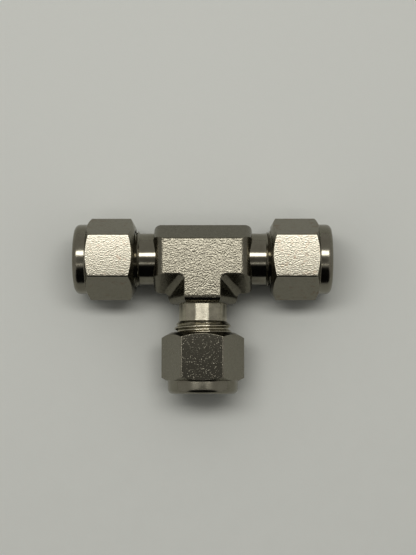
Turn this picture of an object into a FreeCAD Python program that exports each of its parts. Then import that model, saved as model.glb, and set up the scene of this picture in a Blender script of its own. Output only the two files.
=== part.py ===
"""Twin-ferrule compression union tee for 8 mm tube: body, three nuts and three pairs of ferrules.

Frame: X along the run, the branch towards -Y, +Z up through the wrench flats, origin in the middle of the
rectangle that the fitting covers on the surface it lies on. The three axes cross above that surface, and
"out" along an arm means away from their crossing. Every arm has the same positions out.
"""
import FreeCAD, Part

import os

import Sketcher

DIMENSIONS = (
    ("body_flats", 13.8),          # across the forged wrench flats
    ("run_half", 10.95),           # crossing to the end of the run hexagon
    ("stub_length", 10.2),         # crossing to the end of the branch hexagon
    ("valley_radius", 1.0),        # inside corners between run and branch
    ("crown_radius", 1.2),         # long edges on the forging's parting line
    ("flat_edge_radius", 0.4),     # long edges beside the wrench flats
    ("forging_end_radius", 1.5),   # edges at the three ends of the forging
    ("run_neck_dia", 11.56),       # smooth necks
    ("branch_neck_dia", 10.7),
    ("thread_start", 14.0),        # out from the crossing
    ("body_end", 22.0),            # out from the crossing
    ("thread_dia", 12.66),         # major diameter, 1/2-20 class
    ("thread_pitch", 1.27),
    ("thread_root_dia", 11.34),
    ("root_width", 0.26),          # flat at the bottom of the thread groove
    ("thread_flank", 30.0),        # degrees from the radial plane
    ("tip_chamfer", 0.7),          # first thread at the body end
    ("arm_length", 28.6),          # crossing to the outer face of a finger-tight run nut
    ("insertion_depth", 16.2),     # nut face to the tube's stop
    ("tube_hole_dia", 8.1),        # clearance for 8 mm tube, in body, ferrules and nut
    ("flow_dia", 6.4),             # bore through the body
    ("seat_angle", 20.0),          # degrees from the axis, in the body and on the front ferrule
    ("seat_mouth_dia", 9.9),
    ("nut_flats", 16.0),
    ("nut_length", 13.5),
    ("nut_face_dia", 14.5),        # flat ring on the thread side
    ("nut_chamfer_angle", 30.0),   # degrees from the radial plane, both ends of the hexagon
    ("collar_dia", 15.55),
    ("collar_length", 2.77),
    ("collar_rounding", 1.2),      # outer edge at the tube end
    ("hole_chamfer", 0.4),
    ("nut_crest_dia", 11.6),       # bore inside the nut's thread
    ("nut_entry_dia", 13.1),       # countersink before the thread
    ("nut_thread_depth", 9.2),
    ("ferrule_room_dia", 10.9),
    ("thread_gap", 0.1),           # between male and female flanks, at right angles to them
    ("branch_backoff", 1.45),      # how far the branch nut stands out beyond a run nut
    ("front_nose_out", 20.3),      # out from the crossing, finger-tight
    ("front_nose_dia", 8.44),
    ("front_dia", 10.4),
    ("front_length", 4.2),
    ("front_dish", 0.7),           # 45 degree recess that takes the back ferrule's nose
    ("back_nose_out", 24.15),      # out from the crossing, finger-tight
    ("back_nose_dia", 8.58),
    ("back_nose_cone", 0.35),
    ("back_nose_length", 0.45),
    ("back_dia", 10.5),
    ("back_flange_length", 1.6),
    ("drive_slope", 0.25),         # rise per millimetre of radius, nut shoulder on back ferrule
    ("drive_gap", 0.08),           # between the nut's shoulder and the back ferrule
)

UP = FreeCAD.Vector(0, 0, 1)

# Each arm: name, direction out from the crossing, and how far its nut and ferrules are backed off.
ARMS = (
    ("left", FreeCAD.Vector(-1, 0, 0), "0"),
    ("right", FreeCAD.Vector(1, 0, 0), "0"),
    ("branch", FreeCAD.Vector(0, -1, 0), "dims.branch_backoff"),
)

# The crossing of the axes, from the frame's origin: the nuts' upper and lower flats and the corners of the
# run nuts and the face of the branch nut bound the fitting.
CROSSING_Y = "((dims.arm_length + dims.branch_backoff - dims.nut_flats / sqrt(3)) / 2)"
CROSSING_Z = "(dims.nut_flats / 2)"

TINY = 1e-6
THREAD_OVERCUT = 0.2               # how far a groove's profile passes the surface it is cut from
PITCHES_CUT = 7                    # whole pitches from the start of a male thread to past its end

doc = FreeCAD.newDocument("compression_tee")


def make_sheet():
    sheet = doc.addObject("Spreadsheet::Sheet", "dims")
    for row, (alias, value) in enumerate(DIMENSIONS, start=1):
        sheet.set(f"A{row}", str(value))
        sheet.setAlias(f"A{row}", alias)
    doc.recompute()
    return sheet


def new_body(label):
    body = doc.addObject("PartDesign::Body", label)
    body.Label = label
    return body


def origin_plane(body, role):
    for feature in body.Origin.OriginFeatures:
        if feature.Role == role:
            return feature
    raise ValueError(role)


def hold_corner(sketch, corner, axis, expression):
    """Fix one coordinate of a corner to an expression; zero puts the corner on the axis itself."""
    if expression == "0":
        on_axis = -2 if axis == "DistanceX" else -1
        sketch.addConstraint(Sketcher.Constraint("PointOnObject", corner, 1, on_axis))
        return
    value = sketch.evalExpression(expression)
    index = sketch.addConstraint(Sketcher.Constraint(axis, -1, 1, corner, 1, float(value)))
    sketch.setExpression(f"Constraints[{index}]", expression)


def outline(body, name, role, corners):
    """Closed outline of straight lines on an origin plane; each corner is a pair of expressions."""
    sketch = body.newObject("Sketcher::SketchObject", name)
    sketch.AttachmentSupport = (origin_plane(body, role), [""])
    sketch.MapMode = "FlatFace"
    points = []
    for across, along in corners:
        points.append(FreeCAD.Vector(float(sketch.evalExpression(across)),
                                     float(sketch.evalExpression(along)), 0))
    count = len(points)
    for index in range(count):
        sketch.addGeometry(Part.LineSegment(points[index], points[(index + 1) % count]), False)
    for index in range(count):
        sketch.addConstraint(Sketcher.Constraint("Coincident", index, 2, (index + 1) % count, 1))
    for index, (across, along) in enumerate(corners):
        hold_corner(sketch, index, "DistanceX", across)
        hold_corner(sketch, index, "DistanceY", along)
    doc.recompute()
    return sketch


def hexagon(body, name, role, flats):
    """Hexagon whose flats face up and down the sketch's second axis."""
    corner = f"({flats}) / sqrt(3)"
    half_side = f"({flats}) / sqrt(3) / 2"
    apothem = f"({flats}) / 2"
    corners = (
        (corner, "0"),
        (half_side, apothem),
        (f"-{half_side}", apothem),
        (f"-{corner}", "0"),
        (f"-{half_side}", f"-{apothem}"),
        (half_side, f"-{apothem}"),
    )
    return outline(body, name, role, corners)


def pad(body, name, sketch, length, midplane=False):
    feature = body.newObject("PartDesign::Pad", name)
    feature.Profile = sketch
    feature.setExpression("Length", length)
    feature.Midplane = midplane
    doc.recompute()


def turn(body, kind, name, sketch, axis):
    """Revolution or Groove of a sketch round one of its own axes; a Groove must remove material."""
    before = body.Shape.Volume if body.Tip else 0.0
    feature = body.newObject(f"PartDesign::{kind}", name)
    feature.Profile = sketch
    feature.ReferenceAxis = (sketch, [axis])
    feature.Angle = 360
    doc.recompute()
    if kind == "Groove" and not feature.Shape.Volume < before:
        raise ValueError(f"{name} removes nothing")


def cut_thread(body, name, sketch, axis, length):
    """Right-hand helical groove along the positive direction of a sketch axis."""
    before = body.Shape.Volume
    feature = body.newObject("PartDesign::SubtractiveHelix", name)
    feature.Profile = sketch
    feature.ReferenceAxis = (sketch, [axis])
    feature.Mode = "pitch-height-angle"
    feature.LeftHanded = False
    feature.setExpression("Pitch", "dims.thread_pitch")
    feature.setExpression("Height", length)
    doc.recompute()
    if not feature.Shape.Volume < before:
        raise ValueError(f"{name} removes nothing")


def round_edges(body, name, radius, wanted):
    """Fillet every edge whose middle point and direction pass the test."""
    base = body.Tip
    names = []
    for number, edge in enumerate(base.Shape.Edges, start=1):
        middle = edge.valueAt((edge.FirstParameter + edge.LastParameter) / 2)
        if wanted(edge, middle):
            names.append(f"Edge{number}")
    feature = body.newObject("PartDesign::Fillet", name)
    feature.Base = (base, names)
    feature.setExpression("Radius", radius)
    doc.recompute()


# ---- tee body ----

def is_valley(edge, middle):
    """The four inside edges between run and branch run diagonally in plan."""
    direction = edge.tangentAt(edge.FirstParameter)
    return abs(abs(direction.x) - abs(direction.y)) < TINY and abs(direction.x) > TINY


def is_crown(edge, middle):
    """Long edges at half height, on the parting line of the forging."""
    return abs(middle.z) < TINY and is_along_arm(edge)


def is_flat_edge(edge, middle):
    """Long edges beside the top and bottom wrench flats."""
    return abs(abs(middle.z) - sheet.body_flats / 2) < TINY and is_along_arm(edge)


def is_along_arm(edge):
    direction = edge.tangentAt(edge.FirstParameter)
    return edge.Curve.TypeId == "Part::GeomLine" and max(abs(direction.x), abs(direction.y)) > 1 - TINY


def is_forging_end(edge, middle):
    """Edges that lie in one of the three end planes of the forging."""
    start = edge.valueAt(edge.FirstParameter)
    in_run_end = all(abs(abs(point.x) - sheet.run_half) < TINY for point in (start, middle))
    in_stub_end = all(abs(point.y + sheet.stub_length) < TINY for point in (start, middle))
    return in_run_end or in_stub_end


def groove_corners(centre_out, mirror):
    """Thread groove of the male thread, centred on the given distance out; mirror puts it at -out."""
    root = "dims.thread_root_dia / 2"
    mouth = f"(dims.thread_dia / 2 + {THREAD_OVERCUT})"
    half_root = "dims.root_width / 2"
    half_mouth = f"({half_root} + ({mouth} - {root}) * tan(dims.thread_flank))"
    sign = "-" if mirror else ""
    centre = f"{sign}({centre_out})"
    return (
        (f"{centre} - {half_root}", root),
        (f"{centre} - {half_mouth}", mouth),
        (f"{centre} + {half_mouth}", mouth),
        (f"{centre} + {half_root}", root),
    )


def arm_profile(neck):
    """Half section of one arm's outside, from the crossing out to the body end."""
    neck_radius = f"dims.{neck} / 2"
    thread_radius = "dims.thread_dia / 2"
    return (
        ("0", neck_radius),
        ("dims.thread_start", neck_radius),
        (f"dims.thread_start + {thread_radius} - {neck_radius}", thread_radius),
        ("dims.body_end - dims.tip_chamfer", thread_radius),
        ("dims.body_end", f"{thread_radius} - dims.tip_chamfer"),
    )


def bore_profile():
    """Half section of one arm's passage: flow bore, tube stop, socket and conical seat."""
    stop = "dims.arm_length - dims.insertion_depth"
    socket = "dims.tube_hole_dia / 2"
    mouth = "dims.seat_mouth_dia / 2"
    seat_start = f"dims.body_end - ({mouth} - {socket}) / tan(dims.seat_angle)"
    return (
        ("0", "dims.flow_dia / 2"),
        (stop, "dims.flow_dia / 2"),
        (stop, socket),
        (seat_start, socket),
        ("dims.body_end", mouth),
    )


def both_ways(half):
    """Close a half section over the axis and its mirror image, for the run that goes both ways."""
    outwards = [corner for corner in half if corner[0] != "0"]
    backwards = [(f"-({out})", radius) for out, radius in reversed(outwards)]
    ends = (("dims.body_end", "0"), ("-dims.body_end", "0"))
    return tuple(outwards) + ends + tuple(backwards)


def one_way(half):
    """Close a half section over the axis, for the branch, which goes towards negative."""
    outwards = [(f"-({out})" if out != "0" else "0", radius) for out, radius in half]
    return (("0", "0"),) + tuple(outwards) + (("-dims.body_end", "0"),)


def cut_male_threads(body):
    """Right-hand grooves on the three arms, with the same phase seen along each arm.

    On the top of an arm the grooves are centred half a pitch past the thread's start and every pitch from
    there out. The right one is cut outwards, and the two on the negative sides of X and Y inwards.
    """
    inner = "dims.thread_start + dims.thread_pitch / 2"
    length = f"{PITCHES_CUT} * dims.thread_pitch"
    outer = f"{inner} + {length}"
    right = outline(body, "right_groove", "XZ_Plane", groove_corners(inner, False))
    cut_thread(body, "right_thread", right, "H_Axis", length)
    left = outline(body, "left_groove", "XZ_Plane", groove_corners(outer, True))
    cut_thread(body, "left_thread", left, "H_Axis", length)
    branch = outline(body, "branch_groove", "YZ_Plane", groove_corners(outer, True))
    cut_thread(body, "branch_thread", branch, "H_Axis", length)


def make_tee_body():
    body = new_body("tee_body")
    run_hex = hexagon(body, "run_hexagon", "YZ_Plane", "dims.body_flats")
    pad(body, "run_forging", run_hex, "dims.run_half * 2", midplane=True)
    stub_hex = hexagon(body, "stub_hexagon", "XZ_Plane", "dims.body_flats")
    pad(body, "stub_forging", stub_hex, "dims.stub_length")
    round_edges(body, "valleys", "dims.valley_radius", is_valley)
    round_edges(body, "crown_edges", "dims.crown_radius", is_crown)
    round_edges(body, "forging_ends", "dims.forging_end_radius", is_forging_end)
    round_edges(body, "flat_edges", "dims.flat_edge_radius", is_flat_edge)
    run = outline(body, "run_section", "XY_Plane", both_ways(arm_profile("run_neck_dia")))
    turn(body, "Revolution", "run_arms", run, "H_Axis")
    branch = outline(body, "branch_section", "YZ_Plane", one_way(arm_profile("branch_neck_dia")))
    turn(body, "Revolution", "branch_arm", branch, "H_Axis")
    run_bore = outline(body, "run_bore_section", "XY_Plane", both_ways(bore_profile()))
    turn(body, "Groove", "run_bore", run_bore, "H_Axis")
    branch_bore = outline(body, "branch_bore_section", "YZ_Plane", one_way(bore_profile()))
    turn(body, "Groove", "branch_bore", branch_bore, "H_Axis")
    cut_male_threads(body)
    body.setExpression("Placement.Base.y", CROSSING_Y)
    body.setExpression("Placement.Base.z", CROSSING_Z)
    return body


# ---- nuts ----

def nut_outside(end):
    """Waste outside the chamfer at the thread end, or outside the chamfer and the collar at the tube end."""
    beyond = "dims.nut_flats"
    slope = "tan(dims.nut_chamfer_angle)"
    if end == "thread":
        face = "dims.nut_face_dia / 2"
        rise = f"({beyond} - {face}) * {slope}"
        return ((face, "0"), (beyond, rise), (beyond, "-1"), (face, "-1"))
    collar = "dims.collar_dia / 2"
    foot = "dims.nut_length - dims.collar_length"
    rise = f"{foot} - ({beyond} - {collar}) * {slope}"
    above = "dims.nut_length + 1"
    return ((collar, foot), (beyond, rise), (beyond, above), (collar, above))


def nut_inside():
    """Countersink, thread bore, ferrule room, sloped shoulder and tube hole."""
    entry = "dims.nut_entry_dia / 2"
    crest = "dims.nut_crest_dia / 2"
    room = "dims.ferrule_room_dia / 2"
    hole = "dims.tube_hole_dia / 2"
    top = "dims.nut_length"
    chamfer = "dims.hole_chamfer"
    wall = "dims.nut_thread_depth"
    return (
        ("0", "0"),
        (entry, "0"),
        (crest, f"{entry} - {crest}"),
        (crest, wall),
        (room, f"{wall} + {crest} - {room}"),
        (room, shoulder_at(room)),
        (hole, shoulder_at(hole)),
        (hole, f"{top} - {chamfer}"),
        (f"{hole} + {chamfer}", top),
        ("0", top),
    )


def shoulder_at(radius):
    """Depth in the nut of its drive shoulder, parallel to the back ferrule's rear face."""
    rim = "dims.back_nose_out + dims.back_nose_length + dims.back_flange_length"
    nut_face = "(dims.arm_length - dims.nut_length)"
    return f"{rim} + dims.drive_gap + (dims.back_dia / 2 - {radius}) * dims.drive_slope - {nut_face}"


def female_groove(phase):
    """Space in the nut for one ridge of the male thread plus the gap; phase is its centre in the nut."""
    inside = f"(dims.nut_crest_dia / 2 - {THREAD_OVERCUT})"
    outside = "(dims.thread_dia / 2 + dims.thread_gap)"
    crest_half = ("((dims.thread_pitch - dims.root_width) / 2"
                  " - (dims.thread_dia - dims.thread_root_dia) / 2 * tan(dims.thread_flank))")
    gap = "dims.thread_gap / cos(dims.thread_flank)"

    def half(radius):
        return f"({crest_half} + (dims.thread_dia / 2 - {radius}) * tan(dims.thread_flank) + {gap})"

    return (
        (inside, f"{phase} - {half(inside)}"),
        (outside, f"{phase} - {half(outside)}"),
        (outside, f"{phase} + {half(outside)}"),
        (inside, f"{phase} + {half(inside)}"),
    )


def is_tube_end_rim(edge, middle):
    """The outer circle of the nut's tube end, before the hole is cut."""
    return abs(middle.z - sheet.nut_length) < TINY


def make_nut(arm, direction, extra_out):
    """Hexagon nut in its own frame: thread face at zero, +Z out along the arm, +Y up through a flat."""
    body = new_body(f"{arm}_nut")
    hex_sketch = hexagon(body, "hexagon", "XY_Plane", "dims.nut_flats")
    pad(body, "hex_bar", hex_sketch, "dims.nut_length")
    for end in ("thread", "tube"):
        waste = outline(body, f"{end}_end_waste", "XZ_Plane", nut_outside(end))
        turn(body, "Groove", f"{end}_end", waste, "V_Axis")
    round_edges(body, "collar_edge", "dims.collar_rounding", is_tube_end_rim)
    inside = outline(body, "inside_section", "XZ_Plane", nut_inside())
    turn(body, "Groove", "inside", inside, "V_Axis")
    nut_face = f"(dims.arm_length - dims.nut_length + {extra_out})"
    far_ridge = f"(dims.thread_start + {2 * PITCHES_CUT} * dims.thread_pitch - {nut_face})"
    first_ridge = f"(mod({far_ridge}; dims.thread_pitch) - dims.thread_pitch)"
    groove = outline(body, "thread_groove", "YZ_Plane", female_groove(first_ridge))
    cut_thread(body, "thread", groove, "V_Axis", "dims.nut_thread_depth")
    place_on_arm(body, direction, nut_face)
    return body


# ---- ferrules ----

def make_front_ferrule(arm, direction, extra_out):
    """Cone that seals in the body's seat; its nose is at zero and the dish for the back ferrule behind."""
    body = new_body(f"{arm}_front_ferrule")
    hole = "dims.tube_hole_dia / 2"
    nose = "dims.front_nose_dia / 2"
    rim = "dims.front_dia / 2"
    section = outline(body, "section", "XZ_Plane", (
        (hole, "0"),
        (nose, "0"),
        (rim, f"({rim} - {nose}) / tan(dims.seat_angle)"),
        (rim, "dims.front_length"),
        (f"{hole} + dims.front_dish", "dims.front_length"),
        (hole, "dims.front_length - dims.front_dish"),
    ))
    turn(body, "Revolution", "ring", section, "V_Axis")
    place_on_arm(body, direction, f"(dims.front_nose_out + {extra_out})")
    return body


def make_back_ferrule(arm, direction, extra_out):
    """Ring whose nose enters the front ferrule's dish; its flange is what the nut's shoulder pushes."""
    body = new_body(f"{arm}_back_ferrule")
    hole = "dims.tube_hole_dia / 2"
    nose = "dims.back_nose_dia / 2"
    neck = f"{nose} + dims.back_nose_cone"
    rim = "dims.back_dia / 2"
    flange_end = "dims.back_nose_length + dims.back_flange_length"
    section = outline(body, "section", "XZ_Plane", (
        (hole, "0"),
        (nose, "0"),
        (neck, "dims.back_nose_cone"),
        (neck, "dims.back_nose_length"),
        (rim, "dims.back_nose_length"),
        (rim, flange_end),
        (hole, f"{flange_end} + ({rim} - {hole}) * dims.drive_slope"),
    ))
    turn(body, "Revolution", "ring", section, "V_Axis")
    place_on_arm(body, direction, f"(dims.back_nose_out + {extra_out})")
    return body


def place_on_arm(body, direction, distance):
    """Turn the piece's Z to the arm's direction and its Y up, then move it out along the arm."""
    rotation = FreeCAD.Rotation(UP.cross(direction), UP, direction, "ZYX")
    body.Placement = FreeCAD.Placement(FreeCAD.Vector(0, 0, 0), rotation)
    body.setExpression("Placement.Base.x", f"{int(direction.x)} * {distance}")
    body.setExpression("Placement.Base.y", f"{CROSSING_Y} + {int(direction.y)} * {distance}")
    body.setExpression("Placement.Base.z", CROSSING_Z)


def check_document():
    """No object may have failed, and every piece must be one valid solid."""
    for item in doc.Objects:
        if "Invalid" in item.State or "Error" in item.State:
            raise ValueError(f"{item.Name} failed to compute")
    for piece in pieces:
        shape = piece.Shape
        if shape.isNull() or not shape.isValid() or len(shape.Solids) != 1:
            raise ValueError(f"{piece.Label} is not one valid solid")


def export_pieces():
    os.makedirs("parts", exist_ok=True)
    for piece in pieces:
        piece.Shape.exportStep(f"parts/{piece.Label}.step")
        print(f"{piece.Label}: {piece.Shape.Volume:.1f} mm3")


sheet = make_sheet()
pieces = [make_tee_body()]
for arm_name, arm_direction, backed_off in ARMS:
    pieces.append(make_nut(arm_name, arm_direction, backed_off))
    pieces.append(make_front_ferrule(arm_name, arm_direction, backed_off))
    pieces.append(make_back_ferrule(arm_name, arm_direction, backed_off))
doc.recompute()
check_document()
export_pieces()
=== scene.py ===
"""Looks of a twin-ferrule compression union tee: forged body, three nuts and their ferrules, all steel.

Lengths in the mesh code are in millimetres, measured from the crossing of the three axes or, along an arm,
"out" from it, and become metres in the frame's own coordinates when a mesh is made.
"""

import math

import bmesh
import bpy
import numpy as np
from mathutils import Matrix, Vector


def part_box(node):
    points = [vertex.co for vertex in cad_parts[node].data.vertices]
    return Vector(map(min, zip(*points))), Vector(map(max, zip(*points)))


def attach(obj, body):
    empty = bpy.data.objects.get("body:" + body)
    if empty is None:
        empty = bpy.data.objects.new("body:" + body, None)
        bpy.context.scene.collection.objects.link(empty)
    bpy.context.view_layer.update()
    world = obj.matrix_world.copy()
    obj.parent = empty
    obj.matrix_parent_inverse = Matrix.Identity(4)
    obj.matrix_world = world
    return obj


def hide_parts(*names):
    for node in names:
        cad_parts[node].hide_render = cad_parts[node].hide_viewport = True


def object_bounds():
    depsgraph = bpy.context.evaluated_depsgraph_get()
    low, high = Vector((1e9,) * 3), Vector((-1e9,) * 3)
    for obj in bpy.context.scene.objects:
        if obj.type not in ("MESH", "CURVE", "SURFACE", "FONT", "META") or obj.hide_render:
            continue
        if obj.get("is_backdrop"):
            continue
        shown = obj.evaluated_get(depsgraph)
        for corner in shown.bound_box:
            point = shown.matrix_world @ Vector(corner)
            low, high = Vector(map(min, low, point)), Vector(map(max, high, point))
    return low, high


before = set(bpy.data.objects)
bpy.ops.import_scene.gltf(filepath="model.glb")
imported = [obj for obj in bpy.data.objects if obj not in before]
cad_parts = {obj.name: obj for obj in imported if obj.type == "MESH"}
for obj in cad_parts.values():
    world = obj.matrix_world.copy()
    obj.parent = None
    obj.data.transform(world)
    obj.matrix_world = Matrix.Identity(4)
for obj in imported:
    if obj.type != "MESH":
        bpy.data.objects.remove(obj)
CAD_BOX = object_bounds()

MM = 0.001


def box_mm(node):
    low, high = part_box(node)
    return np.array(low) / MM, np.array(high) / MM


# ---- sizes: those that the frame gives, then the rest ----

RUN_NUT_LOW, RUN_NUT_HIGH = box_mm("right_nut")
BRANCH_NUT_LOW, BRANCH_NUT_HIGH = box_mm("branch_nut")
BODY_LOW, BODY_HIGH = box_mm("tee_body")
CROSSING = np.array([0.0, (RUN_NUT_LOW[1] + RUN_NUT_HIGH[1]) / 2, (RUN_NUT_LOW[2] + RUN_NUT_HIGH[2]) / 2])

NUT_FLATS = RUN_NUT_HIGH[2] - RUN_NUT_LOW[2]
NUT_LENGTH = RUN_NUT_HIGH[0] - RUN_NUT_LOW[0]
ARM_LENGTH = RUN_NUT_HIGH[0]
BACKOFF = CROSSING[1] - BRANCH_NUT_LOW[1] - ARM_LENGTH
BODY_FLATS = BODY_HIGH[2] - BODY_LOW[2]
BODY_END = BODY_HIGH[0]

RUN_HALF = 10.95
STUB_LENGTH = 10.2
CROWN_RADIUS = 1.5
FLAT_EDGE_RADIUS = 0.45
END_RADIUS = 1.6             # where the side faces turn into the ends
FLAT_END_RADIUS = 2.9        # where the wrench flats turn into the run ends
VALLEY_RADIUS = 1.2

RUN_NECK = 5.78              # radii of the smooth necks
BRANCH_NECK = 5.35
SOCKET = 4.05
FLOW = 3.2
TUBE_STOP = 12.4
SEAT_START = 19.53
SEAT_MOUTH = 4.95

THREAD_START = 14.0
THREAD_TOP = 6.33
THREAD_ROOT = 5.67
PITCH = 1.27
TIP_CHAMFER = 0.7

NUT_FACE = 7.25
COLLAR = 7.775
COLLAR_LENGTH = 2.77
COLLAR_ROUNDING = 1.2
NUT_SLOPE = math.tan(math.radians(30))
NUT_CORNER_RADIUS = 0.35
NUT_CREST = 5.8
NUT_ROOT = 6.43
NUT_ENTRY = 6.55
NUT_THREAD_DEPTH = 9.2
FERRULE_ROOM = 5.45

ARMS = {
    "left": Vector((-1, 0, 0)),
    "right": Vector((1, 0, 0)),
    "branch": Vector((0, -1, 0)),
}


# ---- mesh tools ----

def unit(vectors):
    return vectors / np.maximum(np.linalg.norm(vectors, axis=-1, keepdims=True), 1e-12)


def rounded(points, radii, segments=4):
    """Outline with rounded corners. points is (..., corners, 2); the two ends stay as they are."""
    out = [points[..., 0, :]]
    for index in range(1, points.shape[-2] - 1):
        corner = points[..., index, :]
        back = unit(points[..., index - 1, :] - corner)
        ahead = unit(points[..., index + 1, :] - corner)
        half = np.arccos(np.clip((back * ahead).sum(-1), -1, 1)) / 2
        radius = radii[index]
        if radius == 0:
            out.append(corner)
            continue
        centre = corner + unit(back + ahead) * (radius / np.sin(half))[..., None]
        first = corner + back * (radius / np.tan(half))[..., None] - centre
        last = corner + ahead * (radius / np.tan(half))[..., None] - centre
        sweep = np.pi - 2 * half
        for step in np.linspace(0, 1, segments + 1):
            weight_first = (np.sin((1 - step) * sweep) / np.sin(sweep))[..., None]
            weight_last = (np.sin(step * sweep) / np.sin(sweep))[..., None]
            out.append(centre + first * weight_first + last * weight_last)
    out.append(points[..., -1, :])
    return np.stack(out, axis=-2)


def on_arm(direction, out, radius, angle):
    """Points round an arm: angle from straight up, right-handed about the outward direction."""
    outward = np.array(direction)
    up = np.array([0.0, 0.0, 1.0])
    across = np.cross(outward, up)
    ring = np.cos(angle)[..., None] * up + np.sin(angle)[..., None] * across
    return CROSSING + out[..., None] * outward + radius[..., None] * ring


def mesh_object(name, points, faces, merge=1e-4):
    """Object from points in millimetres, with doubles merged and normals outwards."""
    mesh = bpy.data.meshes.new(name)
    mesh.from_pydata((np.asarray(points) * MM).tolist(), [], faces)
    work = bmesh.new()
    work.from_mesh(mesh)
    bmesh.ops.remove_doubles(work, verts=work.verts, dist=merge * MM)
    bmesh.ops.dissolve_degenerate(work, edges=work.edges, dist=merge * MM / 10)
    bmesh.ops.recalc_face_normals(work, faces=work.faces)
    work.to_mesh(mesh)
    work.free()
    piece = bpy.data.objects.new(name, mesh)
    bpy.context.collection.objects.link(piece)
    return piece


def grid_faces(columns, rows, first=0):
    """Quads between neighbouring columns of equal length; the last column joins the first."""
    faces = []
    for column in range(columns):
        here = first + column * rows
        there = first + ((column + 1) % columns) * rows
        for row in range(rows - 1):
            faces.append((here + row, there + row, there + row + 1, here + row + 1))
    return faces


def spiral_faces(columns, rows, per_pitch, first=0):
    """Quads of a screw surface: past the last column each row meets the row one pitch further."""
    faces = []
    for column in range(columns):
        here = first + column * rows
        last = column == columns - 1
        there = first + (per_pitch if last else (column + 1) * rows)
        count = rows - 1 - (per_pitch if last else 0)
        for row in range(count):
            faces.append((here + row, there + row, there + row + 1, here + row + 1))
    return faces


def smooth_step(value, low, high):
    share = np.clip((value - low) / (high - low), 0, 1)
    return share * share * (3 - 2 * share)


def screw_zone(angles, start, end, centre_out, phases, radius_at):
    """Rows that follow a right-hand helix between two rings. radius_at(phase, out) gives the surface.

    phases are places within one pitch, measured from the groove's or ridge's centre at centre_out.
    """
    turns_before = math.floor((start - centre_out) / PITCH) - 2
    turns_after = math.ceil((end - centre_out) / PITCH) + 1
    pitches = np.arange(turns_before, turns_after + 1)
    rows_out = (centre_out + pitches[:, None] * PITCH + phases[None, :]).ravel()
    rows_phase = np.tile(phases, len(pitches))
    out = rows_out[None, :] + PITCH * angles[:, None] / (2 * np.pi)
    out = np.clip(out, start, end)
    radius = radius_at(rows_phase[None, :], out)
    return out, radius


def male_radius(neck):
    """Surface of a male thread from its neck to the body end, before the bore."""
    def radius_at(phase, out):
        half_root, half_top = 0.10, PITCH / 2 - 0.10
        share = np.clip((np.abs(phase) - half_root) / (half_top - half_root), 0, 1)
        shape = share * share * (3 - 2 * share) * 0.5 + share * 0.5
        depth = (THREAD_TOP - THREAD_ROOT) * (1 - shape) * smooth_step(out, THREAD_START, THREAD_START + 0.9)
        ramp = neck + np.maximum(out - THREAD_START, 0)
        tip = THREAD_TOP - TIP_CHAMFER + (BODY_END - out)
        envelope = np.minimum(ramp, tip)
        return np.minimum(envelope, THREAD_TOP - depth)
    return radius_at


def female_radius(nut_start):
    """Surface of a nut's thread from its face, through the countersink, to the ferrule room."""
    depth_end = nut_start + NUT_THREAD_DEPTH

    def radius_at(phase, out):
        half_top, half_root = 0.17, PITCH / 2 - 0.08
        share = np.clip((half_root - np.abs(phase)) / (half_root - half_top), 0, 1)
        depth = (NUT_ROOT - NUT_CREST) * share * (1 - smooth_step(out, depth_end - 0.8, depth_end))
        entry = NUT_ENTRY - (out - nut_start)
        return np.maximum(entry, NUT_CREST + depth)
    return radius_at


MALE_PHASES = np.array([-0.50, -0.40, -0.30, -0.20, -0.10, 0.0, 0.10, 0.20, 0.30, 0.40]) * PITCH
FEMALE_PHASES = np.array([-0.48, -0.43, -0.28, -0.134, 0.0, 0.134, 0.28, 0.43]) * PITCH


# ---- nuts ----

def hexagon_angles():
    """Angles round a nut, measured from the middle of the upper flat and closer together at the corners."""
    on_flat = np.degrees(np.arctan(np.tan(np.radians(28.9)) * np.linspace(-1, 1, 21)))
    corner = 30 + np.linspace(-1.1, 1.1, 6)[1:-1]
    sector = np.concatenate([on_flat, corner])
    return np.radians(np.concatenate([sector + 60 * side for side in range(6)]))


def hexagon_radius(angles):
    """Outline of a hexagon with rounded corners, for angles measured from a flat's middle."""
    half = NUT_FLATS / 2
    from_flat = (angles + np.pi / 6) % (np.pi / 3) - np.pi / 6
    flat = half / np.cos(from_flat)
    corner_out = (half - NUT_CORNER_RADIUS) / math.cos(math.pi / 6)
    from_corner = np.pi / 6 - np.abs(from_flat)
    inside = np.maximum(NUT_CORNER_RADIUS ** 2 - (corner_out * np.sin(from_corner)) ** 2, 0)
    corner = corner_out * np.cos(from_corner) + np.sqrt(inside)
    return np.where(flat * np.sin(np.abs(from_flat)) > corner_out / 2, corner, flat)


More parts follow.
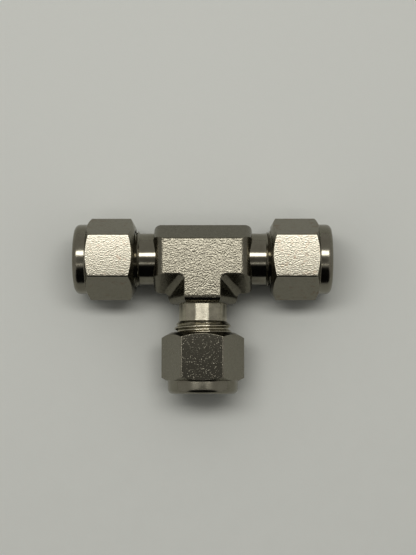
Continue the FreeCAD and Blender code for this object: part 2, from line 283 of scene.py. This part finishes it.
def make_nut(arm):
    direction = ARMS[arm]
    start = ARM_LENGTH - NUT_LENGTH + (BACKOFF if arm == "branch" else 0)
    end = start + NUT_LENGTH
    angles = hexagon_angles()
    radius = hexagon_radius(angles)
    one = np.ones_like(radius)
    foot = end - COLLAR_LENGTH
    shoulder = end - 1.999
    outline = np.stack([
        np.stack([start * one, NUT_ENTRY * one], -1),
        np.stack([start * one, NUT_FACE * one], -1),
        np.stack([start + (radius - NUT_FACE) * NUT_SLOPE, radius], -1),
        np.stack([foot - (radius - COLLAR) * NUT_SLOPE, radius], -1),
        np.stack([foot * one, COLLAR * one], -1),
        np.stack([end * one, COLLAR * one], -1),
        np.stack([end * one, (SOCKET + 0.4) * one], -1),
        np.stack([(end - 0.4) * one, SOCKET * one], -1),
        np.stack([shoulder * one, SOCKET * one], -1),
        np.stack([(shoulder - 0.35) * one, FERRULE_ROOM * one], -1),
        np.stack([(start + NUT_THREAD_DEPTH + 0.35) * one, FERRULE_ROOM * one], -1),
        np.stack([(start + NUT_THREAD_DEPTH) * one, NUT_CREST * one], -1),
    ], axis=1)
    radii = [0, 0.25, 0.12, 0.12, 0.3, COLLAR_ROUNDING, 0.12, 0.12, 0.06, 0.12, 0.1, 0]
    profile = rounded(outline, radii)
    columns, rows = profile.shape[:2]
    spread = np.broadcast_to(angles[:, None], (columns, rows))
    shell = on_arm(direction, profile[..., 0], profile[..., 1], spread)
    out, inner = screw_zone(angles, start, start + NUT_THREAD_DEPTH, THREAD_START,
                            FEMALE_PHASES, female_radius(start))
    thread = on_arm(direction, out, inner, np.broadcast_to(angles[:, None], out.shape))
    faces = grid_faces(columns, rows)
    faces += spiral_faces(columns, out.shape[1], len(FEMALE_PHASES), first=columns * rows)
    points = np.concatenate([shell.reshape(-1, 3), thread.reshape(-1, 3)])
    return mesh_object(f"{arm}_nut_mesh", points, faces)


# ---- tee body ----

def round_max(first, second, radius):
    """Intersection of two signed distances with its edge rounded."""
    return np.minimum(-radius, np.maximum(first, second)) + np.hypot(
        np.maximum(radius + first, 0), np.maximum(radius + second, 0))


def round_min(first, second, radius):
    return -round_max(-first, -second, radius)


HEX_EDGE = 0.46              # share of a fillet radius that round_max needs at a 120 degree edge


def forging_distance(points):
    """Signed distance, near its surface, of the forging: run and stub hexagons with all edges rounded."""
    x, y, z = points.T
    half = BODY_FLATS / 2
    cos30 = math.cos(math.pi / 6)
    crown = CROWN_RADIUS * HEX_EDGE
    run = round_max(np.abs(y) * cos30 + z / 2 - half, np.abs(y) * cos30 - z / 2 - half, crown)
    stub = round_max(np.abs(x) * cos30 + z / 2 - half, np.abs(x) * cos30 - z / 2 - half, crown)
    flats = np.abs(z) - half
    run_end = np.abs(x) - RUN_HALF
    stub_end = -y - STUB_LENGTH
    run = round_max(run, run_end, END_RADIUS)
    stub = np.maximum(round_max(stub, stub_end, END_RADIUS), y)
    sides = round_min(run, stub, VALLEY_RADIUS)
    body = round_max(sides, flats, FLAT_EDGE_RADIUS * HEX_EDGE)
    ends = np.maximum(round_max(flats, run_end, FLAT_END_RADIUS), round_max(flats, stub_end, END_RADIUS))
    return np.maximum(body, ends)


def onto_surface(points, distance, steps=6):
    """Move points along the distance's gradient until they lie on the surface."""
    probe = 1e-3
    for _ in range(steps):
        value = distance(points)
        slope = np.stack([(distance(points + probe * axis) - distance(points - probe * axis)) / (2 * probe)
                          for axis in np.eye(3)], -1)
        points = points - value[:, None] * slope / np.maximum((slope ** 2).sum(-1, keepdims=True), 1e-6)
    return points


def graded(low, high, fine, coarse):
    """Places from low to high, close together at both ends."""
    length = high - low
    half = [0.0]
    step = fine
    while half[-1] + step < length / 2:
        half.append(half[-1] + step)
        step = min(step * 1.15, coarse)
    half = np.array(half) * (length / 2) / (half[-1] + step / 2)
    return np.concatenate([low + half, (high - half)[::-1]])


def patch(points, faces, corner_a, corner_b, corner_c, corner_d, across, along):
    """Grid on the quadrilateral a, b, c, d: across runs from a to b, along from a to d, as shares."""
    a, b, c, d = (np.array(corner, dtype=float) for corner in (corner_a, corner_b, corner_c, corner_d))
    u, v = np.meshgrid(across, along, indexing="ij")
    u, v = u[..., None], v[..., None]
    grid = a * (1 - u) * (1 - v) + b * u * (1 - v) + c * u * v + d * (1 - u) * v
    first = len(points)
    points.extend(grid.reshape(-1, 3))
    rows = len(along)
    for column in range(len(across) - 1):
        for row in range(rows - 1):
            here = first + column * rows + row
            faces.append((here, here + rows, here + rows + 1, here + 1))


def forging_blank(fine, coarse):
    """The forging's faces as fine grids with sharp edges, ready to be moved onto the rounded surface."""
    a = BODY_FLATS / 2
    h = BODY_FLATS / math.sqrt(3) / 2
    c = 2 * h
    length, stub = RUN_HALF, STUB_LENGTH
    middle = graded(0, 1, fine / (2 * h), coarse / (2 * h))
    outer = graded(0, 1, fine / (length - h), coarse / (length - h))
    slope = graded(0, 1, fine / c, coarse / c)
    stalk = graded(0, 1, fine / (stub - h), coarse / (stub - h))
    points, faces = [], []
    for s in (1, -1):
        top = s * a
        for side in (1, -1):
            patch(points, faces, (side * h, -h, top), (side * length, -h, top), (side * length, h, top),
                  (side * h, h, top), outer, middle)
            patch(points, faces, (side * h, h, top), (side * length, h, top), (side * length, c, 0),
                  (side * h, c, 0), outer, slope)
            patch(points, faces, (side * h, -h, top), (side * length, -h, top), (side * length, -c, 0),
                  (side * c, -c, 0), outer, slope)
            patch(points, faces, (side * h, -h, top), (side * h, -stub, top), (side * c, -stub, 0),
                  (side * c, -c, 0), stalk, slope)
            patch(points, faces, (side * length, -h, top), (side * length, h, top), (side * length, c, 0),
                  (side * length, -c, 0), middle, slope)
        patch(points, faces, (-h, -h, top), (h, -h, top), (h, h, top), (-h, h, top), middle, middle)
        patch(points, faces, (-h, h, top), (h, h, top), (h, c, 0), (-h, c, 0), middle, slope)
        patch(points, faces, (-h, -h, top), (h, -h, top), (h, -stub, top), (-h, -stub, top), middle, stalk)
        patch(points, faces, (-h, -stub, top), (h, -stub, top), (c, -stub, 0), (-c, -stub, 0), middle, slope)
    return np.array(points), faces


def make_forging():
    fine, coarse = ((0.09, 0.24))
    points, faces = forging_blank(fine, coarse)
    points = onto_surface(points, forging_distance)
    return mesh_object("forging", points + CROSSING, faces, merge=1e-3)


def lathe(name, direction, outline, angles):
    """Closed solid of revolution on an arm; the outline starts and ends on the axis."""
    profile = np.broadcast_to(np.array(outline)[None], (len(angles), len(outline), 2))
    spread = np.broadcast_to(angles[:, None], profile.shape[:2])
    points = on_arm(direction, profile[..., 0], profile[..., 1], spread)
    return mesh_object(name, points.reshape(-1, 3), grid_faces(len(angles), len(outline)))


def round_angles(count):
    return np.arange(count) * 2 * np.pi / count


def make_arm(arm):
    """Neck and male thread as one solid plug that starts inside the forging."""
    direction = ARMS[arm]
    neck = BRANCH_NECK if arm == "branch" else RUN_NECK
    angles = round_angles(144)
    inside = 6.0
    foot = np.array([(inside, 0.0), (inside, neck), (THREAD_START, neck)])
    profile = np.broadcast_to(foot[None], (len(angles), 3, 2))
    spread = np.broadcast_to(angles[:, None], profile.shape[:2])
    stem = on_arm(direction, profile[..., 0], profile[..., 1], spread)
    out, radius = screw_zone(angles, THREAD_START, BODY_END, THREAD_START + PITCH / 2,
                             MALE_PHASES, male_radius(neck))
    thread = on_arm(direction, out, radius, np.broadcast_to(angles[:, None], out.shape))
    tip = np.array([(BODY_END, THREAD_TOP - TIP_CHAMFER), (BODY_END, 0.0)])
    cap = np.broadcast_to(tip[None], (len(angles), 2, 2))
    spread = np.broadcast_to(angles[:, None], cap.shape[:2])
    face = on_arm(direction, cap[..., 0], cap[..., 1], spread)
    columns = len(angles)
    faces = grid_faces(columns, 3)
    faces += spiral_faces(columns, out.shape[1], len(MALE_PHASES), first=columns * 3)
    faces += grid_faces(columns, 2, first=columns * (3 + out.shape[1]))
    points = np.concatenate([stem.reshape(-1, 3), thread.reshape(-1, 3), face.reshape(-1, 3)])
    return mesh_object(f"{arm}_arm", points, faces)


def make_bore(arm):
    """What is drilled out of one arm, from past the crossing to past the body end."""
    past = BODY_END + 1
    mouth = SEAT_MOUTH + (past - BODY_END) * (SEAT_MOUTH - SOCKET) / (BODY_END - SEAT_START)
    start = 0.0 if arm == "branch" else -1.0
    outline = [(start, 0), (start, FLOW), (TUBE_STOP, FLOW), (TUBE_STOP, SOCKET), (SEAT_START, SOCKET),
               (past, mouth), (past, 0)]
    return lathe(f"{arm}_bore", ARMS[arm], outline, round_angles(96))


def combine(target, others, operation):
    for other in others:
        change = target.modifiers.new(other.name, "BOOLEAN")
        change.operation = operation
        change.solver = "MANIFOLD"
        change.object = other
        bpy.context.view_layer.objects.active = target
        bpy.ops.object.modifier_apply(modifier=change.name)
        bpy.data.objects.remove(other, do_unlink=True)


def make_tee():
    """Forging and three arms in one solid, drilled through."""
    tee = make_forging()
    combine(tee, [make_arm(arm) for arm in ARMS], "UNION")
    combine(tee, [make_bore(arm) for arm in ARMS], "DIFFERENCE")
    return tee


# ---- ferrules ----

def make_ferrule(arm, node, corners, radii):
    """Ring on an arm from its section; corners are (out from the ring's inner end, radius)."""
    low, high = box_mm(node)
    outward = np.array(ARMS[arm])
    start = min((low - CROSSING) @ outward, (high - CROSSING) @ outward)
    loop = np.array(corners + corners[:1], dtype=float)
    loop[:, 0] += start
    outline = rounded(loop, radii, segments=3)[:-1]
    angles = round_angles(96)
    profile = np.broadcast_to(outline[None], (len(angles), len(outline), 2))
    spread = np.broadcast_to(angles[:, None], profile.shape[:2])
    points = on_arm(ARMS[arm], profile[..., 0], profile[..., 1], spread)
    rows = len(outline)
    faces = grid_faces(len(angles), rows)
    for column in range(len(angles)):
        here = column * rows
        there = ((column + 1) % len(angles)) * rows
        faces.append((here + rows - 1, there + rows - 1, there, here))
    return mesh_object(f"{node}_mesh", points.reshape(-1, 3), faces)


FRONT_FERRULE = [(0.0, 4.08), (0.0, 4.22), (2.69, 5.2), (4.2, 5.2), (4.2, 4.75), (3.5, SOCKET), (0.3, SOCKET)]
BACK_FERRULE = [(0.0, SOCKET), (0.0, 4.29), (0.35, 4.64), (0.45, 4.64), (0.45, 5.25), (2.05, 5.25),
                (2.35, SOCKET)]


# ---- materials ----

class Steel:
    """Node tree of one finish; each method adds nodes and returns the socket that carries the result."""

    def __init__(self, name, colour, metallic=1.0):
        self.material = bpy.data.materials.new(name)
        self.material.use_nodes = True
        self.tree = self.material.node_tree
        self.shader = self.tree.nodes["Principled BSDF"]
        self.shader.inputs["Base Color"].default_value = (*colour, 1)
        self.shader.inputs["Metallic"].default_value = metallic
        self.place = self.tree.nodes.new("ShaderNodeTexCoord").outputs["Object"]

    def node(self, kind, **settings):
        made = self.tree.nodes.new(kind)
        for key, value in settings.items():
            setattr(made, key, value)
        return made

    def feed(self, socket, value):
        if isinstance(value, bpy.types.NodeSocket):
            self.tree.links.new(value, socket)
        else:
            socket.default_value = value

    def noise(self, size, detail=2.0, roughness=0.5, place=None, distortion=0.0):
        """Noise whose lumps are about size across, in millimetres."""
        made = self.node("ShaderNodeTexNoise")
        self.feed(made.inputs["Vector"], place or self.place)
        made.inputs["Scale"].default_value = 1 / (size * MM)
        made.inputs["Detail"].default_value = detail
        made.inputs["Roughness"].default_value = roughness
        made.inputs["Distortion"].default_value = distortion
        return made.outputs["Fac"]

    def span(self, value, low, high, to_low, to_high):
        """Value moved from low..high to to_low..to_high, and kept within."""
        made = self.node("ShaderNodeMapRange")
        self.feed(made.inputs["Value"], value)
        made.inputs["From Min"].default_value = low
        made.inputs["From Max"].default_value = high
        made.inputs["To Min"].default_value = to_low
        made.inputs["To Max"].default_value = to_high
        return made.outputs["Result"]

    def vector(self, operation, *inputs):
        made = self.node("ShaderNodeVectorMath", operation=operation)
        for socket, value in zip(made.inputs, inputs):
            self.feed(socket, value)
        return made.outputs["Value" if operation in ("LENGTH", "DOT_PRODUCT") else "Vector"]

    def math(self, operation, *inputs):
        made = self.node("ShaderNodeMath", operation=operation)
        for socket, value in zip(made.inputs, inputs):
            self.feed(socket, value)
        return made.outputs["Value"]

    def blend(self, share, first, second):
        """Colour between two colours, each a socket or three numbers."""
        made = self.node("ShaderNodeMix", data_type="RGBA")
        self.feed(made.inputs["Factor"], share)
        for socket, value in zip(made.inputs[6:8], (first, second)):
            self.feed(socket, value if isinstance(value, bpy.types.NodeSocket) else (*value, 1))
        return made.outputs[2]

    def bump(self, height, depth, under=None):
        """Normal bumped by a height of 0 to 1 times depth, in millimetres, over an earlier normal."""
        made = self.node("ShaderNodeBump")
        made.inputs["Distance"].default_value = depth * MM
        self.feed(made.inputs["Height"], height)
        if under is not None:
            self.feed(made.inputs["Normal"], under)
        return made.outputs["Normal"]

    def tint(self, colour):
        self.feed(self.shader.inputs["Base Color"], colour)

    def round_place(self, direction):
        """Place as seen by a lathe: across the axis, out along it, and the ring's direction in the world."""
        axis = tuple(direction)
        from_crossing = self.vector("SUBTRACT", self.place, tuple(CROSSING * MM))
        ring = self.vector("CROSS_PRODUCT", axis, from_crossing)
        radius = self.vector("LENGTH", ring)
        out = self.vector("DOT_PRODUCT", from_crossing, axis)
        made = self.node("ShaderNodeCombineXYZ")
        self.feed(made.inputs["X"], radius)
        self.feed(made.inputs["Y"], out)
        turned = self.node("ShaderNodeVectorTransform", vector_type="VECTOR",
                           convert_from="OBJECT", convert_to="WORLD")
        self.feed(turned.inputs["Vector"], ring)
        return made.outputs["Vector"], turned.outputs["Vector"]


STEEL_WARM = (0.365, 0.352, 0.308)
STEEL_DARK = (0.30, 0.283, 0.243)
# Painted highlight: a brighter copy of the turned steel colour, used only on the branch arm so its reflection
# of the lamp reads brighter
BRANCH_HIGHLIGHT_STEEL = (0.56, 0.535, 0.46)
FORGED_WARM = (0.29, 0.278, 0.239)
FORGED_DARK = (0.205, 0.196, 0.168)
RUST_TINT = (0.30, 0.225, 0.175)


def turned_steel(name, direction, roughness, spread, mark_depth, light=STEEL_WARM, dark=STEEL_DARK):
    """Lathe-turned surface: light spreads across the tool marks, which run round the arm's axis."""
    steel = Steel(name, light)
    rings, ring_direction = steel.round_place(direction)
    normal = steel.node("ShaderNodeNewGeometry").outputs["Normal"]
    steel.feed(steel.shader.inputs["Tangent"], steel.vector("CROSS_PRODUCT", normal, ring_direction))
    steel.shader.inputs["Anisotropic"].default_value = spread
    marks = steel.noise(0.08, detail=3, roughness=0.7, place=rings)
    scuffs = steel.noise(0.5, detail=4, roughness=0.65)
    steel.feed(steel.shader.inputs["Roughness"],
               steel.span(scuffs, 0.3, 0.7, roughness * 0.9, roughness * 1.12))
    normal = steel.bump(marks, mark_depth)
    steel.feed(steel.shader.inputs["Normal"], steel.bump(scuffs, mark_depth, under=normal))
    cloud = steel.noise(2.4, detail=3)
    steel.tint(steel.blend(steel.span(cloud, 0.42, 0.68, 0.0, 0.6), light, dark))
    return steel.material


def tumbled_steel(name, grain, depth, roughness, stain, nicks=0.0, where=None,
                  light=STEEL_WARM, dark=STEEL_DARK):
    """Tumbled surface with fine shallow dents, sparse dull nicks and faint rusty stains.

    where is a function that makes a socket with the share of the dents' full depth at each place.
    """
    steel = Steel(name, light)
    dents = steel.noise(grain, detail=0)
    fine = steel.noise(grain * 0.45, detail=0)
    height = steel.math("ADD", dents, steel.math("MULTIPLY", fine, 0.35))
    smooth = steel.noise(grain * 4, detail=2)
    if where is not None:
        share = where(steel)
        height = steel.math("ADD", steel.math("MULTIPLY", height, share), steel.math("MULTIPLY", smooth, 0.4))
    steel.feed(steel.shader.inputs["Normal"], steel.bump(height, depth))
    patches = steel.noise(grain * 2.2, detail=3, roughness=0.6)
    dullness = steel.span(patches, 0.3, 0.7, roughness * 0.85, roughness * 1.15)
    if nicks > 0:
        spots = steel.span(steel.noise(0.24, detail=0), 0.68, 0.76, 0.0, nicks)
        dullness = steel.math("ADD", dullness, spots)
    steel.feed(steel.shader.inputs["Roughness"], dullness)
    cloud = steel.noise(1.8, detail=5, roughness=0.7)
    colour = steel.blend(steel.span(patches, 0.45, 0.75, 0.0, 0.5), light, dark)
    if stain > 0:
        colour = steel.blend(steel.span(cloud, 0.56, 0.70, 0.0, stain), colour, RUST_TINT)
    steel.tint(colour)
    return steel.material


def on_wrench_flats(steel):
    """Full dents on the forging's upper and lower flats, few on its sides."""
    parts = steel.node("ShaderNodeSeparateXYZ")
    steel.feed(parts.inputs["Vector"], steel.vector("SUBTRACT", steel.place, tuple(CROSSING * MM)))
    half = BODY_FLATS / 2 * MM
    height = steel.math("ABSOLUTE", parts.outputs["Z"])
    return steel.span(height, half - 0.25 * MM, half - 0.05 * MM, 0.12, 1.0)


# ---- stage ----

CAMERA_PLACE = (4.97, -30.22, 267.34)    # from the crossing
CAMERA_TILT = 0.0974                     # radians from straight down, towards the far side
CAMERA_TURN = 0.0143
LENS = 77.84

LIGHT_HEIGHT = 600.0
LAMP_FROM, LAMP_TO = 7.2, 21.4           # degrees from straight up, towards the far side
LAMP_LEFT, LAMP_RIGHT = -34.3, 28.5      # degrees from straight up
LAMP_RADIANCE = 2.25
FILL_RADIANCE = 1.4
STRIP_FROM, STRIP_TO = -24.3, -22.6
STRIP_RADIANCE = 1.0

WALL_LEVEL = 0.33
NEAR_SIDE_LEVEL = 0.018
NEAR_SIDE_TILT = 66.0
NEAR_SIDE_RADIUS = 35.0
OVERHEAD_SHARE = 0.45
OVERHEAD_TILT = -8.0
OVERHEAD_RADIUS = 11.0

FLOOR_SIZE = 6000.0


def make_camera():
    data = bpy.data.cameras.new("camera")
    data.lens = LENS
    data.clip_start = 0.01
    camera = bpy.data.objects.new("camera", data)
    bpy.context.collection.objects.link(camera)
    tilt = Matrix.Rotation(CAMERA_TILT, 4, "X")
    turn = Matrix.Rotation(CAMERA_TURN, 4, "Y")
    place = Matrix.Translation(Vector((CROSSING + np.array(CAMERA_PLACE)) * MM))
    camera.matrix_world = place @ tilt @ turn
    bpy.context.scene.camera = camera


def make_light(name, radiance, near, far, left, right, mirrored=True):
    """Rectangular light that faces down and spans the given angles, as seen from the crossing."""
    edges = (near, far, left, right)
    low_y, high_y, low_x, high_x = (LIGHT_HEIGHT * math.tan(math.radians(angle)) for angle in edges)
    data = bpy.data.lights.new(name, "AREA")
    data.shape = "RECTANGLE"
    data.size = (high_x - low_x) * MM
    data.size_y = (high_y - low_y) * MM
    data.energy = radiance * math.pi * data.size * data.size_y
    data.color = (1.0, 0.985, 0.955)
    light = bpy.data.objects.new(name, data)
    middle = np.array([(low_x + high_x) / 2, (low_y + high_y) / 2, LIGHT_HEIGHT])
    light.location = (CROSSING + middle) * MM
    light.visible_glossy = mirrored
    bpy.context.collection.objects.link(light)


def make_world():
    """Dim studio: nearly black low on the near side, dark overhead round the camera, grey elsewhere."""
    world = bpy.data.worlds.new("studio")
    bpy.context.scene.world = world
    world.use_nodes = True
    tree = world.node_tree
    direction = tree.nodes.new("ShaderNodeTexCoord").outputs["Generated"]

    def along(axis):
        made = tree.nodes.new("ShaderNodeVectorMath")
        made.operation = "DOT_PRODUCT"
        tree.links.new(direction, made.inputs[0])
        made.inputs[1].default_value = axis
        return made.outputs["Value"]

    def ramp(value, low, high, to_low, to_high):
        made = tree.nodes.new("ShaderNodeMapRange")
        made.interpolation_type = "SMOOTHSTEP"
        made.inputs["From Min"].default_value = low
        made.inputs["From Max"].default_value = high
        made.inputs["To Min"].default_value = to_low
        made.inputs["To Max"].default_value = to_high
        tree.links.new(value, made.inputs["Value"])
        return made.outputs["Result"]

    low = math.radians(NEAR_SIDE_TILT)
    inside = math.cos(math.radians(NEAR_SIDE_RADIUS))
    near_side = ramp(along((0, -math.sin(low), math.cos(low))), inside - 0.04, inside + 0.04,
                     WALL_LEVEL, NEAR_SIDE_LEVEL)
    tilt = math.radians(OVERHEAD_TILT)
    edge = math.cos(math.radians(OVERHEAD_RADIUS))
    overhead = ramp(along((0, math.sin(tilt), math.cos(tilt))), edge - 0.01, edge, 1.0, OVERHEAD_SHARE)
    level = tree.nodes.new("ShaderNodeMath")
    level.operation = "MULTIPLY"
    tree.links.new(near_side, level.inputs[0])
    tree.links.new(overhead, level.inputs[1])
    tree.links.new(level.outputs["Value"], tree.nodes["Background"].inputs["Strength"])
    tree.nodes["Background"].inputs["Color"].default_value = (1.0, 0.99, 0.95, 1)


def make_floor():
    half = FLOOR_SIZE / 2
    corners = [(-half, -half, 0), (half, -half, 0), (half, half, 0), (-half, half, 0)]
    floor = mesh_object("floor", np.array(corners), [(0, 1, 2, 3)])
    paper = Steel("pale_floor", (0.62, 0.63, 0.61), metallic=0)
    mottle = paper.noise(6, detail=4, roughness=0.6)
    paper.tint(paper.blend(mottle, (0.61, 0.62, 0.605), (0.64, 0.65, 0.635)))
    paper.feed(paper.shader.inputs["Roughness"], paper.span(mottle, 0.3, 0.7, 0.55, 0.7))
    paper.feed(paper.shader.inputs["Normal"], paper.bump(paper.noise(0.4, detail=3), 0.01))
    floor.data.materials.append(paper.material)
    floor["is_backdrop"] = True


# ---- put it together ----

def shade(piece, angle):
    for face in piece.data.polygons:
        face.use_smooth = True
    piece.data.set_sharp_from_angle(angle=math.radians(angle))
    even = piece.modifiers.new("even_normals", "WEIGHTED_NORMAL")
    even.keep_sharp = True
    bpy.context.view_layer.objects.active = piece
    bpy.ops.object.modifier_apply(modifier=even.name)


def face_centres(piece):
    count = len(piece.data.polygons)
    centres = np.empty(count * 3)
    piece.data.polygons.foreach_get("center", centres)
    return centres.reshape(-1, 3) / MM - CROSSING


def finish_piece(piece, node, body, angle=30):
    shade(piece, angle)
    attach(piece, body)
    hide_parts(node)


def assign(piece, materials, which):
    piece.data.materials.clear()
    for material in materials:
        piece.data.materials.append(material)
    piece.data.polygons.foreach_set("material_index", np.asarray(which, dtype=np.int32))


def finish_tee():
    tee = make_tee()
    centres = face_centres(tee)
    on_forging = np.abs(forging_distance(centres)) < 0.05
    branch = (centres[:, 1] < -STUB_LENGTH + 0.05) & (np.abs(centres[:, 0]) < STUB_LENGTH - 1)
    which = np.where(on_forging, 0, np.where(branch, 2, 1))
    assign(tee, [
        tumbled_steel("forged", 0.30, 0.038, 0.25, 0.0, where=on_wrench_flats,
                      light=FORGED_WARM, dark=FORGED_DARK),
        turned_steel("turned_run", ARMS["right"], 0.20, 0.8, 0.0003),
        # the branch arm's turned steel is given the brighter colour above: painted highlight
        turned_steel("turned_branch", ARMS["branch"], 0.24, 0.85, 0.0003,
                     light=BRANCH_HIGHLIGHT_STEEL, dark=STEEL_WARM),
    ], which)
    finish_piece(tee, "tee_body", "tee_body")


NUT_FINISH = {               # depth of the dents in millimetres, roughness, share of stain, dullness of nicks
    "left": (0.012, 0.18, 0.5, 0.0),
    "right": (0.014, 0.18, 0.8, 0.0),
    "branch": (0.002, 0.12, 0.1, 0.26),
}


def finish_nut(arm):
    nut = make_nut(arm)
    centres = face_centres(nut)
    outward = np.array(ARMS[arm])
    across = np.cross(outward, np.array([0.0, 0.0, 1.0]))
    side, height = centres @ across, centres[:, 2]
    turned = [np.abs(height * math.cos(a) + side * math.sin(a)) for a in np.radians((0, 60, 120))]
    flat = np.max(turned, axis=0) > NUT_FLATS / 2 - 0.004
    assign(nut, [
        tumbled_steel(f"{arm}_nut_flats", 0.28, *NUT_FINISH[arm]),
        turned_steel(f"{arm}_nut_turned", ARMS[arm], 0.22, 0.7, 0.0005),
    ], np.where(flat, 0, 1))
    finish_piece(nut, f"{arm}_nut", f"{arm}_nut")


def finish_ferrules(arm):
    metal = turned_steel(f"{arm}_ferrule_steel", ARMS[arm], 0.25, 0.8, 0.0008)
    for kind, corners in (("front", FRONT_FERRULE), ("back", BACK_FERRULE)):
        node = f"{arm}_{kind}_ferrule"
        radii = [0.0] + [0.06] * (len(corners) - 1) + [0.0]
        ferrule = make_ferrule(arm, node, corners, radii)
        ferrule.data.materials.append(metal)
        finish_piece(ferrule, node, f"{arm}_ferrules")


make_camera()
make_light("lamp", LAMP_RADIANCE, LAMP_FROM, LAMP_TO, LAMP_LEFT, LAMP_RIGHT)
make_light("fill", FILL_RADIANCE, LAMP_FROM, LAMP_TO, LAMP_LEFT, LAMP_RIGHT, mirrored=False)
make_light("strip", STRIP_RADIANCE, STRIP_FROM, STRIP_TO, LAMP_LEFT, LAMP_RIGHT)
make_world()
make_floor()
finish_tee()
for name in ARMS:
    finish_nut(name)
    finish_ferrules(name)

bpy.context.scene.view_settings.view_transform = "Standard"
bpy.context.scene.view_settings.look = "Very High Contrast"

[[list(corner) for corner in box] for box in (CAD_BOX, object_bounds())]
